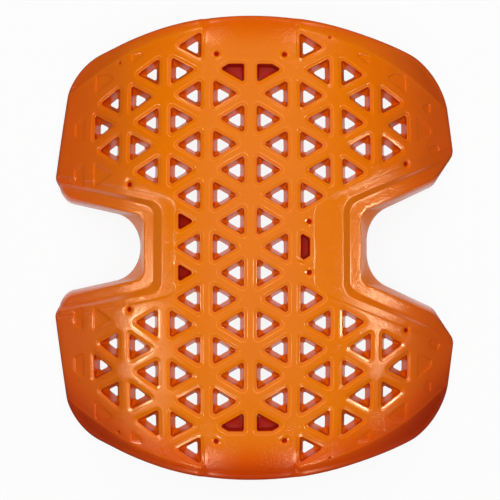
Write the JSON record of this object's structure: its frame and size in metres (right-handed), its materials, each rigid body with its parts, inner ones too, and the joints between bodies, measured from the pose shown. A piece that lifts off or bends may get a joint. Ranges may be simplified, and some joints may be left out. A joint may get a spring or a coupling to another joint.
{
  "type": "knee pad",
  "caption": "Arched knee protector insert with a lattice of triangular vents and a notch in each side.",
  "frame": {"origin": "centre of the box of the pad, on the plane that its four lobes rest on", "axes": "+Z out of the crown, away from the knee; +Y along the leg, towards the thigh; +X across the leg"},
  "size_m": [0.2244, 0.235, 0.078],
  "materials": {
    "polymer": "satin orange moulding with a fine pebbled skin"
  },
  "bodies": {
    "root": {"knee_pad": "polymer"}
  },
  "joints": []
}
